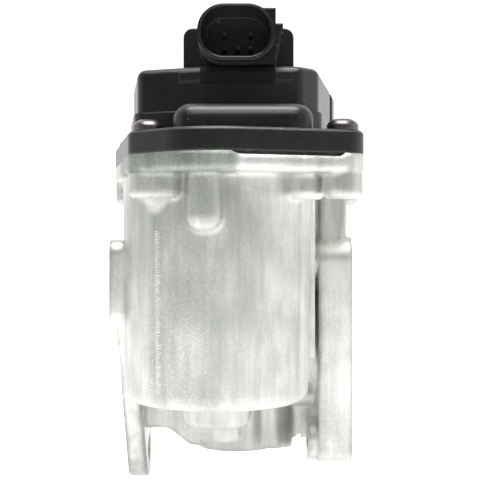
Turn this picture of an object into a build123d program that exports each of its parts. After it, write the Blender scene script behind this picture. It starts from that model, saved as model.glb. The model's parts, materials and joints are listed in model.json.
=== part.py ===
from build123d import *

"""Exhaust gas recirculation valve: a flap in a die-cast aluminium duct, turned by a motor and gears.

Frame, in millimetres: the origin is the centre of the inlet port on the inlet flange's face.
+X runs along the gas duct to the outlet, +Y points to the back, +Z points up to the cover.
"""

from math import acos, atan2, ceil, cos, degrees, pi, radians, sin, sqrt, tan
import os

# Gas duct
bore_radius = 15.0
duct_wall = 5.0
duct_length = 69.0
shaft_x = 34.5

# Inlet flange, with two ears on one bolt circle
inlet_thickness = 6.0
inlet_collar = 9.0
inlet_bolt_circle = 70.0
inlet_bolt_tilt = 10.0
inlet_ear_radius = 9.0
inlet_hole_radius = 4.3

# Outlet flange, with four bolts on a rectangle
outlet_thickness = 10.0
outlet_width = 50.0
outlet_height = 68.0
outlet_corner = 7.0
outlet_bolt_y = 36.0
outlet_bolt_z = 54.0
outlet_hole_radius = 3.3

# Gear deck, the flat top of the casting that carries the cover
deck_z = 55.0
deck_thickness = 4.8
screw_boss_length = 11.3
screw_boss_radius = 5.4

# Electric motor and its pot
motor_radius = 21.0
motor_gap = 0.5
pot_wall = 4.5
pot_bottom_z = -11.3
pot_floor = 3.5
pot_draft = 0.7
pot_corner = 3.8
nose_boss_radius = 10.0
nose_boss_length = 7.3
nose_corner = 3.6
nose_tip_radius = 6.6
nose_tip_length = 3.6
can_bottom_z = -5.0
can_wall = 1.2
nose_radius = 6.0
nose_length = 7.6
motor_plate_thickness = 2.5
motor_plate_rise = -0.1
motor_plate_lap = 0.6
motor_screw_reach = 4.1
motor_screw_angle = -96.0
motor_boss_bottom_z = 35.2
motor_boss_round = 3.8
motor_boss_radius = 4.7
motor_shaft_radius = 1.6

# Gears: two stages, both cut with the same pressure angle
pressure_angle = 25.0
module_fast = 0.8
module_slow = 1.0
pinion_teeth = 12
idler_large_teeth = 38
idler_small_teeth = 12
sector_teeth = 42
backlash = 0.14
pinion_width = 7.5
idler_large_width = 4.5
idler_small_width = 8.0
sector_width = 5.0
gear_level_fast = 62.0
gear_level_slow = 67.8
idler_pin_radius = 2.0
flap_travel = 80.0
sector_margin = 17.0

# Flap, its shaft and what carries it
flap_shaft_radius = 3.5
flap_thickness = 2.0
flap_clearance = 0.25
tower_radius = 12.0
lower_boss_bottom_z = -32.4
bearing_radius = 6.5
bearing_length = 9.0
running_gap = 0.03
collar_wall = 2.2
collar_height = 4.0
seal_z = 40.0
seal_height = 5.0
port_recess = 3.0
port_lip = 2.5
plug_height = 2.4

# Plastic cover
flange_height = 6.0
cover_wall = 2.2
base_tier_z = 67.7
upper_tier_z = 79.3
bulge_corner = 5.5
bulge_round = 4.0
screw_recess_radius = 5.4
seal_wall = 0.9
seal_width = 1.3
seal_depth = 1.6
sleeve_radius = 3.3

# Connector
connector_z = 87.0
connector_width = 20.1
connector_height = 14.8
connector_corner = 6.9
connector_wall = 0.9
connector_mouth_y = -66.0
connector_block_y = -50.0
connector_block_width = 30.2
connector_block_depth = 22.0
connector_block_z = 91.0
pin_pitch = 3.5
pin_low_z = 84.2
pin_high_z = 88.1
pin_size = 0.8

# Screws
screw_radius = 2.0
screw_head_radius = 4.1
screw_head_height = 3.0
thread_depth = 14.0
fit = 0.05

# Levels inside, from the motor up to the circuit board
spring_radius = 9.3
spring_band = 0.6
spring_pitch = 1.3
spring_half_turns = 6
board_thickness = 1.6
board_hole_radius = 5.6
magnet_height = 1.4
stop_reach = 15.8
post_top_z = 73.0
stop_screw_z = 70.3
blade_reach = 8.0

# Worked-out places
fast_distance = module_fast * (pinion_teeth + idler_large_teeth) / 2
slow_distance = module_slow * (idler_small_teeth + sector_teeth) / 2
motor_side = -5.3
idler_side = 1.0
motor_x = shaft_x + motor_side
idler_x = shaft_x + idler_side
idler_y = -sqrt(slow_distance**2 - idler_side**2)
motor_y = idler_y - sqrt(fast_distance**2 - (idler_x - motor_x) ** 2)
motor_at = (motor_x, motor_y)
idler_at = (idler_x, idler_y)
shaft_at = (shaft_x, 0.0)

deck_bottom = deck_z - deck_thickness
flange_top = deck_z + flange_height
duct_radius = bore_radius + duct_wall
pot_inner = motor_radius + motor_gap
pot_outer = pot_inner + pot_wall
pot_floor_z = pot_bottom_z + pot_floor
plate_bottom = deck_z + motor_plate_rise - motor_plate_thickness
plate_top = deck_z + motor_plate_rise
ceiling_z = upper_tier_z - cover_wall
pot_left_x = motor_x - pot_inner
front_y = motor_y - pot_inner
post_x = shaft_x - stop_reach
spring_end_x = shaft_x + spring_radius + (2 * spring_half_turns - 1) * spring_pitch / 4
motor_screw_circle = pot_inner + motor_screw_reach

# The six cover screws: the left ones keep to the motor's pot, the right ones to the wider of
# the gear case and the duct
right_screw_x = max(motor_x + 37.3, duct_length - 2.5)
cover_screws_at = [
    (pot_left_x + 4.2, front_y + 1.5),
    (right_screw_x - 4.5, front_y - 0.5),
    (pot_left_x - 5.0, -13.0),
    (right_screw_x, -13.0),
    (shaft_x - 26.5, 18.0),
    (right_screw_x - 5.5, 18.0),
]


def along(angle, radius, centre=(0.0, 0.0)):
    """The point at an angle in degrees and a radius from a centre."""
    return (centre[0] + radius * cos(radians(angle)), centre[1] + radius * sin(radians(angle)))


def direction(start, end):
    """The angle in degrees of the line from one point to another."""
    return degrees(atan2(end[1] - start[1], end[0] - start[0]))


motor_screws_at = [
    along(motor_screw_angle + turn, motor_screw_circle, motor_at) for turn in (0.0, 180.0)
]


def gear_sketch(teeth, module, tooth_at, first=0, count=None):
    """The outline of an involute gear about the origin, with one tooth centred at an angle.

    With a count, only that many teeth from the first are cut, and the rest is left at the root.
    """
    pitch = module * teeth / 2
    tip = pitch + 0.95 * module
    root = pitch - 1.2 * module
    base = pitch * cos(radians(pressure_angle))
    start = max(base, root)
    half_pitch_angle = (pi * module / 2 - backlash / 2) / (2 * pitch)
    involute_at_pitch = tan(radians(pressure_angle)) - radians(pressure_angle)

    def half_angle(radius):
        pressure = acos(min(1.0, base / radius))
        return degrees(half_pitch_angle + involute_at_pitch - (tan(pressure) - pressure))

    middle = (start + tip) / 2
    step = 360 / teeth
    with BuildSketch(mode=Mode.PRIVATE) as tooth:
        with BuildLine():
            low = along(-half_angle(start), start)
            high = along(-half_angle(tip), tip)
            foot = along(-half_angle(start), root - 0.3 * module)
            Line(foot, low)
            ThreePointArc(low, along(-half_angle(middle), middle), high)
            Line(high, (high[0], -high[1]))
            ThreePointArc((high[0], -high[1]), along(half_angle(middle), middle), (low[0], -low[1]))
            Line((low[0], -low[1]), (foot[0], -foot[1]))
            Line((foot[0], -foot[1]), foot)
        make_face()
    made = count if count is not None else teeth
    outline = Sketch() + [
        Rot(0, 0, tooth_at + (first + number) * step) * tooth.sketch for number in range(made)
    ]
    return outline, root


def deck_outline(inset=0.0):
    """The shared outline of the casting's deck and the cover's flange, as a hull about the screws."""
    nose = (motor_x + 1.0, front_y + 5.0)
    with BuildSketch(mode=Mode.PRIVATE) as outline:
        with BuildLine():
            for screw_at in cover_screws_at:
                CenterArc(screw_at, screw_boss_radius - inset, 0, 360)
            CenterArc(nose, 20.0 - inset, 0, 360)
        make_hull()
    return outline.sketch


def tier_outline(inset=0.0):
    """The plan of the cover's tall tier, which holds the gears, with scallops round the screws."""
    points = [
        (pot_left_x + 0.1, motor_y - 7.0),
        (motor_x - 2.4, front_y + 7.5),
        (motor_x + 22.3, front_y + 7.5),
        (motor_x + 27.5, front_y + 12.5),
        (shaft_x + 31.2, 0.0),
        (shaft_x + 30.2, 9.0),
        (shaft_x + 16.5, 19.0),
        (shaft_x - 16.5, 19.0),
        (shaft_x - 29.0, 9.0),
        (shaft_x - 30.9, -20.0),
    ]
    with BuildSketch(mode=Mode.PRIVATE) as outline:
        with BuildLine():
            Polyline(*points, close=True)
        make_face()
        fillet(outline.vertices(), 3.5)
        if inset:
            offset(amount=-inset)
        with Locations(*cover_screws_at):
            Circle(screw_recess_radius + inset, mode=Mode.SUBTRACT)
    return outline.sketch


def bulge_outline(inset=0.0):
    """The plan of the low tier's bulge over the front of the motor."""
    with BuildSketch(mode=Mode.PRIVATE) as outline:
        with Locations((motor_x + 7.2, front_y + 4.5)):
            RectangleRounded(35.8 - 2 * inset, 24.0 - 2 * inset, bulge_corner - inset)
    return outline.sketch


def cavity_outline(out=0.0):
    """The plan of the cover's open underside, or of the seal's groove at a distance round it."""
    with BuildSketch(mode=Mode.PRIVATE) as outline:
        with Locations(motor_at):
            Circle(pot_inner + motor_plate_lap)
        with Locations(*motor_screws_at):
            Circle(motor_boss_radius)
        add(tier_outline(cover_wall))
        add(bulge_outline(cover_wall))
        with Locations(*cover_screws_at):
            Circle(sleeve_radius + 0.7 + seal_wall + seal_width, mode=Mode.SUBTRACT)
        if out:
            offset(amount=out)
    return outline.sketch


# The casting: pot for the motor, duct, shaft tower, deck and flanges
slant = tan(radians(pot_draft))
pot_height = deck_bottom - pot_bottom_z
nose_boss_z = pot_bottom_z - nose_boss_length
boss_bottom = deck_z - screw_boss_length
boss_radius = screw_boss_radius - 0.2
boss_edge = 1.2
bosses_at = cover_screws_at + [
    (pot_left_x + 8.6, front_y - 0.2),
    (right_screw_x - 13.7, front_y + 6.0),
]
side_pad_at = (motor_y + 1.0, 21.0)
inlet_ears_at = [along(90.0 + inlet_bolt_tilt + turn, inlet_bolt_circle / 2) for turn in (0.0, 180.0)]
outlet_face_x = duct_length
outlet_back_x = duct_length - outlet_thickness
rib_bottom = lower_boss_bottom_z
spring_post_radius = 1.5
spring_bottom_z = deck_z + 2.5
spring_top_z = gear_level_fast - 0.5

# The shallow slot along the deck's front edge, where the cover can be levered off
with BuildPart() as pry_slot:
    with BuildSketch(Plane.XZ.offset(20.0 - front_y)):
        with BuildLine():
            Polyline(
                (motor_x + 4.0, deck_z + 0.1),
                (motor_x + 6.3, deck_z - 0.9),
                (motor_x + 31.8, deck_z - 0.9),
                (motor_x + 33.2, deck_z + 0.1),
                close=True,
            )
        make_face()
    extrude(amount=-30.0)
    with BuildSketch(Plane.XY.offset(deck_z - 2.0)):
        add(deck_outline(1.5))
    extrude(amount=3.0, mode=Mode.SUBTRACT)

with BuildPart() as housing:
    with BuildSketch(Plane.XY.offset(deck_bottom)):
        add(deck_outline())
    extrude(amount=deck_thickness)
    chamfer(housing.faces().sort_by(Axis.Z)[0].edges(), 1.0)

    # Motor pot with its draft, and the boss for the motor's rear bearing
    with BuildSketch(Plane.XZ.offset(-motor_y)):
        with BuildLine():
            pot_side = FilletPolyline(
                (motor_x, deck_bottom + 2.0),
                (motor_x + pot_outer, deck_bottom + 2.0),
                (motor_x + pot_outer - pot_height * slant, pot_bottom_z),
                (motor_x + nose_boss_radius, pot_bottom_z),
                radius=[0.5, pot_corner],
            )
            nose_side = FilletPolyline(
                pot_side @ 1,
                (motor_x + nose_boss_radius - 1.0, nose_boss_z),
                (motor_x + nose_tip_radius - 2.0, nose_boss_z),
                radius=nose_corner,
            )
            Line(nose_side @ 1, (motor_x, nose_boss_z))
            Line((motor_x, nose_boss_z), pot_side @ 0)
        make_face()
    revolve(axis=Axis((motor_x, motor_y, 0), (0, 0, 1)))

    with BuildSketch(Plane.XY.offset(nose_boss_z + 1.0)):
        with Locations(motor_at):
            Circle(nose_tip_radius)
    extrude(amount=-(nose_tip_length + 1.0))

    # Gas duct, and the tower that holds the flap shaft's bearings
    with BuildSketch(Plane.YZ.offset(1.0)):
        Circle(duct_radius)
    extrude(amount=duct_length - 2.0)
    with BuildSketch(Plane.XY.offset(lower_boss_bottom_z)):
        with Locations(shaft_at):
            Circle(tower_radius)
    extrude(amount=deck_z - 1.0 - lower_boss_bottom_z)
    with BuildSketch(Plane.XY.offset(deck_z - 1.0)):
        with Locations(shaft_at):
            Circle(bearing_radius + collar_wall)
    extrude(amount=collar_height + 1.0)

    # Inlet flange with its two ears, and the web down from the pot's side pad
    with BuildSketch(Plane.YZ):
        with BuildLine():
            CenterArc((0, 0), bore_radius + inlet_collar, 0, 360)
            for ear_at in inlet_ears_at:
                CenterArc(ear_at, inlet_ear_radius, 0, 360)
        make_hull()
    extrude(amount=inlet_thickness)
    with BuildSketch(Plane.YZ.offset(0.8)):
        with BuildLine():
            CenterArc((motor_y + 6.0, 12.0), 4.0, 0, 360)
            CenterArc((inlet_ears_at[1][0] - 3.0, inlet_ears_at[1][1] - 3.5), 5.0, 0, 360)
            CenterArc((-6.0, -4.0), 6.0, 0, 360)
            CenterArc((-12.0, 26.0), 4.0, 0, 360)
            CenterArc((motor_y + 6.0, 26.0), 4.0, 0, 360)
        make_hull()
    extrude(amount=inlet_thickness - 1.6)
    with BuildSketch(Plane.YZ):
        with Locations(side_pad_at):
            RectangleRounded(14.0, 24.0, 4.0)
    extrude(amount=motor_x - pot_inner - 1.0)

    # Outlet flange, with a boss behind each bolt
    with BuildSketch(Plane.YZ.offset(outlet_back_x)):
        RectangleRounded(outlet_width, outlet_height, outlet_corner)
    extrude(amount=outlet_thickness)
    with BuildSketch(Plane.YZ.offset(outlet_back_x - 3.0)):
        with GridLocations(outlet_bolt_y, outlet_bolt_z, 2, 2):
            Circle(outlet_corner - 0.6)
    extrude(amount=4.0)

    # Bosses under the cover screws, with rounded lower ends and a chin down to the pot
    with BuildSketch(Plane.XY.offset(boss_bottom + boss_edge)):
        with Locations(*bosses_at):
            Circle(boss_radius)
    extrude(amount=screw_boss_length - boss_edge - 1.0)
    with Locations(*[(x, y, boss_bottom) for x, y in bosses_at]):
        Cone(
            boss_radius - boss_edge, boss_radius, boss_edge,
            align=(Align.CENTER, Align.CENTER, Align.MIN),
        )
    with Locations((pot_left_x + 7.0, front_y + 2.4, boss_bottom + 0.6)):
        Cone(1.8, 5.0, 4.6, align=(Align.CENTER, Align.CENTER, Align.MAX))

    # Bosses beside the motor for its plate's screws, rounded off into the pot
    for x, y in motor_screws_at:
        with BuildSketch(Plane.XZ.offset(-y)):
            with BuildLine():
                boss_side = CenterArc(
                    (x + motor_boss_radius - motor_boss_round, motor_boss_bottom_z + motor_boss_round),
                    motor_boss_round, 270, 90,
                )
                Polyline(
                    boss_side @ 1,
                    (x + motor_boss_radius, deck_z - 1.0),
                    (x, deck_z - 1.0),
                    (x, motor_boss_bottom_z),
                    boss_side @ 0,
                )
            make_face()
        revolve(axis=Axis((x, y, 0), (0, 0, 1)))

    # Ribs: under the duct, from the pot to the tower, and from the flanges up to the deck
    with BuildSketch(Plane.XZ):
        with BuildLine():
            FilletPolyline(
                (inlet_thickness / 2, -8.0),
                (inlet_thickness / 2, rib_bottom + 6.1),
                (shaft_x - 21.6, rib_bottom + 6.1),
                (shaft_x - 14.5, rib_bottom + 0.5),
                (outlet_back_x - 9.8, rib_bottom + 0.5),
                (outlet_back_x - 4.6, rib_bottom + 4.3),
                (outlet_back_x + 3.0, rib_bottom + 4.3),
                (outlet_back_x + 3.0, -8.0),
                radius=[0.5, 5.0, 5.0, 5.0, 4.0, 0.5],
            )
            Line((outlet_back_x + 3.0, -8.0), (inlet_thickness / 2, -8.0))
        make_face()
    extrude(amount=4.0, both=True)
    with BuildSketch(Plane.XY.offset(rib_bottom + 0.5)):
        with Locations((shaft_x + 10.7, -2.5)):
            Circle(7.0)
    extrude(amount=24.0)
    with BuildSketch(Plane.XY.offset(-4.0)):
        with Locations((shaft_x, motor_y / 2)):
            RectangleRounded(13.0, -motor_y - 16.0, 3.0)
    extrude(amount=deck_bottom + 5.0)
    with BuildSketch(Plane.XY.offset(0.0)):
        with Locations((motor_x - 17.0, motor_y / 2 + 1.0), (motor_x + 25.0, motor_y / 2 + 1.0)):
            RectangleRounded(5.0, -motor_y - 2.0, 2.0)
    extrude(amount=deck_bottom + 1.0)
    with BuildSketch(Plane.XY.offset(outlet_height / 2 - 6.0)):
        with Locations((outlet_back_x + 4.6, -3.0)):
            RectangleRounded(8.4, outlet_bolt_y, 2.0)
        with Locations((inlet_thickness / 2 + 0.4, inlet_ears_at[0][0])):
            RectangleRounded(inlet_thickness - 1.6, 20.0, 2.0)
    extrude(amount=deck_bottom - outlet_height / 2 + 7.0)
    with BuildSketch(Plane.XZ.offset(14.0)):
        with BuildLine():
            Polyline(
                (motor_x + 22.5, deck_bottom + 1.2),
                (outlet_back_x + 5.5, deck_bottom + 1.2),
                (outlet_back_x + 5.5, outlet_height / 2 - 3.0),
                (outlet_back_x + 0.5, outlet_height / 2 - 3.0),
                (motor_x + 22.5, outlet_height / 2 + 3.0),
                close=True,
            )
        make_face()
    extrude(amount=4.0)

    # Posts for the return spring and the stop screw
    with BuildSketch(Plane.XY.offset(deck_z - 1.0)):
        with Locations((spring_end_x + spring_band + spring_post_radius + fit, -1.0)):
            Circle(spring_post_radius)
    extrude(amount=spring_top_z - deck_z + 2.0)
    with BuildSketch(Plane.XY.offset(deck_z - 1.0)):
        with Locations((post_x, 8.6)):
            RectangleRounded(7.0, 5.0, 1.5)
    extrude(amount=post_top_z - deck_z + 1.0)
    with BuildSketch(Plane.XZ.offset(-12.0)):
        with Locations((post_x, stop_screw_z)):
            Circle(1.5)
    extrude(amount=8.0, mode=Mode.SUBTRACT)

    # Motor cavity with the ledge for its mounting plate
    with BuildSketch(Plane.XY.offset(deck_z)):
        with Locations(motor_at):
            Circle(pot_inner)
    extrude(amount=-(deck_z - pot_floor_z), mode=Mode.SUBTRACT)
    with BuildSketch(Plane.XY.offset(pot_floor_z)):
        with Locations(motor_at):
            Circle(nose_radius + motor_gap)
    extrude(amount=-(pot_floor_z - can_bottom_z + nose_length + 1.6), mode=Mode.SUBTRACT)
    with BuildSketch(Plane.XY.offset(deck_z)):
        with Locations(motor_at):
            Circle(pot_inner + motor_plate_lap)
        with Locations(*motor_screws_at, idler_at):
            Circle(motor_boss_radius - 0.4)
    extrude(amount=-(deck_z - plate_bottom), mode=Mode.SUBTRACT)
    with BuildSketch(Plane.XY.offset(plate_bottom)):
        with Locations(*motor_screws_at):
            Circle(1.5)
    extrude(amount=-thread_depth, mode=Mode.SUBTRACT)

    # Gas bore with a recess at each port
    with BuildSketch(Plane.YZ):
        Circle(bore_radius)
    extrude(amount=duct_length, mode=Mode.SUBTRACT)
    with BuildSketch(Plane.YZ):
        Circle(bore_radius + port_lip)
    extrude(amount=port_recess, mode=Mode.SUBTRACT)
    with BuildSketch(Plane.YZ.offset(duct_length)):
        Circle(bore_radius + port_lip)
    extrude(amount=-port_recess, mode=Mode.SUBTRACT)

    # Shaft bore with its seats for seal, bearings and plug
    with BuildSketch(Plane.XY.offset(lower_boss_bottom_z)):
        with Locations(shaft_at):
            Circle(flap_shaft_radius + 0.4)
    extrude(amount=deck_z + collar_height - lower_boss_bottom_z, mode=Mode.SUBTRACT)
    with BuildSketch(Plane.XY.offset(deck_z + collar_height)):
        with Locations(shaft_at):
            Circle(bearing_radius)
    extrude(amount=-(deck_z + collar_height - seal_z), mode=Mode.SUBTRACT)
    with BuildSketch(Plane.XY.offset(lower_boss_bottom_z)):
        with Locations(shaft_at):
            Circle(bearing_radius)
    extrude(amount=plug_height + 0.4 + bearing_length, mode=Mode.SUBTRACT)

    # Bolt and screw holes
    with BuildSketch(Plane.YZ):
        with Locations(*inlet_ears_at):
            Circle(inlet_hole_radius)
        with Locations(side_pad_at):
            Circle(2.5)
    extrude(amount=inlet_thickness + 0.5, mode=Mode.SUBTRACT)
    with BuildSketch(Plane.YZ.offset(outlet_face_x)):
        with GridLocations(outlet_bolt_y, outlet_bolt_z, 2, 2):
            Circle(outlet_hole_radius)
    extrude(amount=-(outlet_thickness + 4.0), mode=Mode.SUBTRACT)
    with BuildSketch(Plane.XY.offset(deck_z)):
        with Locations(*cover_screws_at):
            Circle(screw_radius)
    extrude(amount=-(screw_boss_length - 1.6), mode=Mode.SUBTRACT)

    add(pry_slot.part, mode=Mode.SUBTRACT)

housing.part.label = "housing"
os.makedirs("parts", exist_ok=True)
export_step(housing.part, "parts/housing.step")

# The connector's pins, moulded into the cover with their tails in the circuit board
connector_x = shaft_x
pins_x = connector_x + 0.45
board_bottom_z = ceiling_z - board_thickness
pins_at = [(pins_x + side * pin_pitch, pin_low_z, -40.0) for side in (-1, 0, 1)] + [
    (pins_x + side * pin_pitch, pin_high_z, -36.5) for side in (-1, 1)
]

with BuildPart() as connector_pins:
    for x, z, tail_y in pins_at:
        with BuildLine():
            FilletPolyline(
                (x, connector_block_y - 8.0, z), (x, tail_y, z), (x, tail_y, board_bottom_z),
                radius=0.8,
            )
        with BuildSketch(Plane((x, connector_block_y - 8.0, z), z_dir=(0, 1, 0))):
            Rectangle(pin_size, pin_size)
        sweep()
connector_pins.part.label = "connector_pins"
export_step(connector_pins.part, "parts/connector_pins.step")

# The cover: flange, gear tier, bulge over the motor, and the electrical connector
block_bottom_z = ceiling_z + 0.5
boss_seat_z = ceiling_z - 2.4

with BuildPart() as bulge:
    with BuildSketch(Plane.XY.offset(flange_top - 1.0)):
        add(bulge_outline())
    extrude(amount=base_tier_z - flange_top + 1.0)
    fillet(bulge.faces().sort_by(Axis.Z)[-1].edges(), bulge_round)

with BuildPart() as cover:
    with BuildSketch(Plane.XY.offset(deck_z)):
        add(deck_outline())
    extrude(amount=flange_height)
    chamfer(cover.faces().sort_by(Axis.Z)[-1].edges(), 0.7)
    with BuildSketch(Plane.XY.offset(flange_top - 1.0)):
        add(tier_outline(-0.9))
        with Locations(*cover_screws_at):
            Circle(screw_recess_radius - 0.5, mode=Mode.SUBTRACT)
    extrude(amount=base_tier_z - flange_top + 0.6)
    with BuildSketch(Plane.XY.offset(flange_top - 1.0)):
        add(tier_outline())
    extrude(amount=upper_tier_z - flange_top + 1.0)
    fillet(cover.faces().sort_by(Axis.Z)[-1].edges(), 2.2)
    add(bulge.part)
    with BuildSketch(Plane.XY.offset(upper_tier_z - 4.1)):
        add(tier_outline(-0.2))
        with Locations((connector_x, front_y + 10.0)):
            Rectangle(30.2, 14.0, mode=Mode.INTERSECT)
    extrude(amount=2.6)

    # Connector block and the oval shroud in front of it, open towards the front
    with BuildSketch(Plane.XZ.offset(-connector_block_y)):
        with Locations((connector_x + 0.7, (connector_block_z + block_bottom_z) / 2)):
            RectangleRounded(connector_block_width, connector_block_z - block_bottom_z, 2.6)
    extrude(amount=-connector_block_depth)
    with BuildSketch(Plane.XZ.offset(-connector_block_y - 1.0)):
        with Locations((connector_x, connector_z)):
            RectangleRounded(connector_width, connector_height, connector_corner)
    extrude(amount=connector_block_y - connector_mouth_y + 1.0)
    with BuildSketch(Plane.XZ.offset(-connector_block_y - 1.0)):
        with BuildLine():
            Polyline(
                (connector_x + 3.0, connector_z + 7.0),
                (connector_x + 10.5, connector_z + 7.0),
                (connector_x + 10.5, connector_z + 2.9),
                (connector_x + 12.4, connector_z + 2.9),
                (connector_x + 12.4, connector_z + 0.7),
                (connector_x + 12.0, connector_z + 0.7),
                (connector_x + 10.4, connector_z - 7.2),
                (connector_x + 3.0, connector_z - 7.2),
                close=True,
            )
        make_face()
    extrude(amount=connector_block_y - connector_mouth_y - 2.5)
    with BuildSketch(Plane.XZ.offset(-connector_mouth_y)):
        with Locations((connector_x, connector_z + 0.2)):
            RectangleRounded(
                connector_width - 2 * connector_wall,
                connector_height - 2 * connector_wall,
                connector_corner - connector_wall,
            )
    extrude(amount=-(connector_block_y - connector_mouth_y - 2.0), mode=Mode.SUBTRACT)

    # Hollow inside, over the gears and over the motor
    with BuildSketch(Plane.XY.offset(deck_z)):
        add(tier_outline(cover_wall))
    extrude(amount=ceiling_z - deck_z, mode=Mode.SUBTRACT)
    with BuildSketch(Plane.XY.offset(deck_z)):
        add(bulge_outline(cover_wall))
    extrude(amount=base_tier_z - cover_wall - deck_z, mode=Mode.SUBTRACT)
    with BuildSketch(Plane.XY.offset(deck_z)):
        add(cavity_outline())
    extrude(amount=3.8, mode=Mode.SUBTRACT)
    with BuildSketch(Plane.XY.offset(boss_seat_z)):
        with Locations(idler_at):
            Circle(4.4)
    extrude(amount=ceiling_z - boss_seat_z + 0.5)
    with BuildSketch(Plane.XY.offset(boss_seat_z)):
        with Locations(idler_at):
            Circle(idler_pin_radius + 0.02)
    extrude(amount=ceiling_z - boss_seat_z - 0.2, mode=Mode.SUBTRACT)

    # Groove for the seal, and the holes for the steel sleeves
    with BuildSketch(Plane.XY.offset(deck_z)):
        add(cavity_outline(seal_wall + seal_width))
        add(cavity_outline(seal_wall), mode=Mode.SUBTRACT)
    extrude(amount=seal_depth, mode=Mode.SUBTRACT)
    with BuildSketch(Plane.XY.offset(deck_z)):
        with Locations(*cover_screws_at):
            Circle(sleeve_radius)
    extrude(amount=flange_height, mode=Mode.SUBTRACT)
    add(connector_pins.part, mode=Mode.SUBTRACT)

cover.part.label = "cover"
export_step(cover.part, "parts/cover.step")

with BuildPart() as cover_seal:
    with BuildSketch(Plane.XY.offset(deck_z)):
        add(cavity_outline(seal_wall + seal_width - fit))
        add(cavity_outline(seal_wall + fit), mode=Mode.SUBTRACT)
    extrude(amount=seal_depth)
cover_seal.part.label = "cover_seal"
export_step(cover_seal.part, "parts/cover_seal.step")


with BuildPart() as cover_sleeves:
    with BuildSketch(Plane.XY.offset(deck_z)):
        with Locations(*cover_screws_at):
            Circle(sleeve_radius - 0.01)
            Circle(screw_radius + 0.25, mode=Mode.SUBTRACT)
    extrude(amount=flange_height)
cover_sleeves.part.label = "cover_sleeves"
export_step(cover_sleeves.part, "parts/cover_sleeves.step")

with BuildPart() as cover_screws:
    with BuildSketch(Plane.XY.offset(boss_bottom + 2.4)):
        with Locations(*cover_screws_at):
            Circle(screw_radius - 0.01)
    extrude(amount=flange_top - boss_bottom - 2.0)
    with BuildSketch(Plane.XY.offset(flange_top)):
        with Locations(*cover_screws_at):
            Circle(screw_head_radius)
    extrude(amount=screw_head_height / 2)
    for low, high, start, end in ((1.0, 0.86, 0.5, 0.78), (0.86, 0.6, 0.78, 1.0)):
        with Locations(*[(x, y, flange_top + start * screw_head_height) for x, y in cover_screws_at]):
            Cone(
                low * screw_head_radius, high * screw_head_radius, (end - start) * screw_head_height,
                align=(Align.CENTER, Align.CENTER, Align.MIN),
            )
    with BuildSketch(Plane.XY.offset(flange_top + screw_head_height)):
        with Locations(*cover_screws_at):
            RegularPolygon(1.9, 6)
    extrude(amount=-1.8, mode=Mode.SUBTRACT)
cover_screws.part.label = "cover_screws"
export_step(cover_screws.part, "parts/cover_screws.step")


# The motor: can, plate, magnets, brush gear and rotor
magnet_inner = motor_radius - can_wall - 2.8
rotor_radius = magnet_inner - 0.6
bearing_seat = nose_radius - can_wall
nose_bottom_z = can_bottom_z - nose_length
motor_seat_radius = 5.0
commutator_radius = 4.6
commutator_bottom_z = 40.5
brush_z = 43.5
card_z = 50.0
shaft_top_z = gear_level_fast + 7.0
blades_at = [(motor_x - blade_reach, motor_y - 4.0), (motor_x + blade_reach, motor_y - 4.0)]
magnet_plane = Plane.XY.offset(can_bottom_z + 9.0)
rotor_bottom_z = can_bottom_z + 11.0
rotor_length = 28.0
slot_count = 10
slot_inner = motor_shaft_radius + 5.5
slot_outer = rotor_radius - 2.3
slot_middle = (slot_inner + slot_outer) / 2
slot_width = 3.2

with BuildPart() as motor_can:
    with BuildSketch(Plane.XZ.offset(-motor_y)):
        with BuildLine():
            Polyline(
                (motor_x + nose_radius, nose_bottom_z),
                (motor_x + nose_radius, can_bottom_z),
                (motor_x + motor_radius, can_bottom_z),
                (motor_x + motor_radius, plate_bottom),
                (motor_x + motor_radius - can_wall, plate_bottom),
                (motor_x + motor_radius - can_wall, can_bottom_z + can_wall),
                (motor_x + bearing_seat, can_bottom_z + can_wall),
                (motor_x + bearing_seat, nose_bottom_z + can_wall),
                (motor_x + motor_shaft_radius + 0.6, nose_bottom_z + can_wall),
                (motor_x + motor_shaft_radius + 0.6, nose_bottom_z),
                close=True,
            )
        make_face()
    revolve(axis=Axis((motor_x, motor_y, 0), (0, 0, 1)))
    chamfer(motor_can.edges().filter_by(GeomType.CIRCLE).filter_by_position(
        Axis.Z, can_bottom_z - 0.1, can_bottom_z + 0.1).sort_by(SortBy.LENGTH)[-1], 1.4)
motor_can.part.label = "motor_can"
export_step(motor_can.part, "parts/motor_can.step")

with BuildPart() as motor_plate:
    with BuildSketch(Plane.XY.offset(plate_bottom)):
        with Locations(motor_at):
            Circle(pot_inner + motor_plate_lap - fit)
        with Locations(*motor_screws_at, idler_at):
            Circle(motor_boss_radius - 0.4 - fit)
    extrude(amount=motor_plate_thickness)
    with BuildSketch(Plane.XY.offset(plate_bottom)):
        with Locations(motor_at):
            Circle(motor_seat_radius + 1.3)
    extrude(amount=5.0)
    with BuildSketch(Plane.XY.offset(plate_bottom)):
        with Locations(motor_at):
            Circle(motor_seat_radius)
    extrude(amount=4.0, mode=Mode.SUBTRACT)
    with BuildSketch(Plane.XY.offset(plate_bottom)):
        with Locations(motor_at):
            Circle(motor_shaft_radius + 1.0)
        with Locations(idler_at):
            Circle(idler_pin_radius)
        with Locations(*motor_screws_at):
            Circle(1.7)
        with Locations(*blades_at):
            Rectangle(3.6, 1.8)
    extrude(amount=5.0, mode=Mode.SUBTRACT)
motor_plate.part.label = "motor_plate"
export_step(motor_plate.part, "parts/motor_plate.step")

with BuildPart() as motor_screws:
    with BuildSketch(Plane.XY.offset(plate_bottom - 10.0)):
        with Locations(*motor_screws_at):
            Circle(1.49)
    extrude(amount=motor_plate_thickness + 10.4)
    with BuildSketch(Plane.XY.offset(plate_top)):
        with Locations(*motor_screws_at):
            Circle(2.8)
            RegularPolygon(1.3, 6, mode=Mode.SUBTRACT)
    extrude(amount=2.0)
motor_screws.part.label = "motor_screws"
export_step(motor_screws.part, "parts/motor_screws.step")

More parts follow.
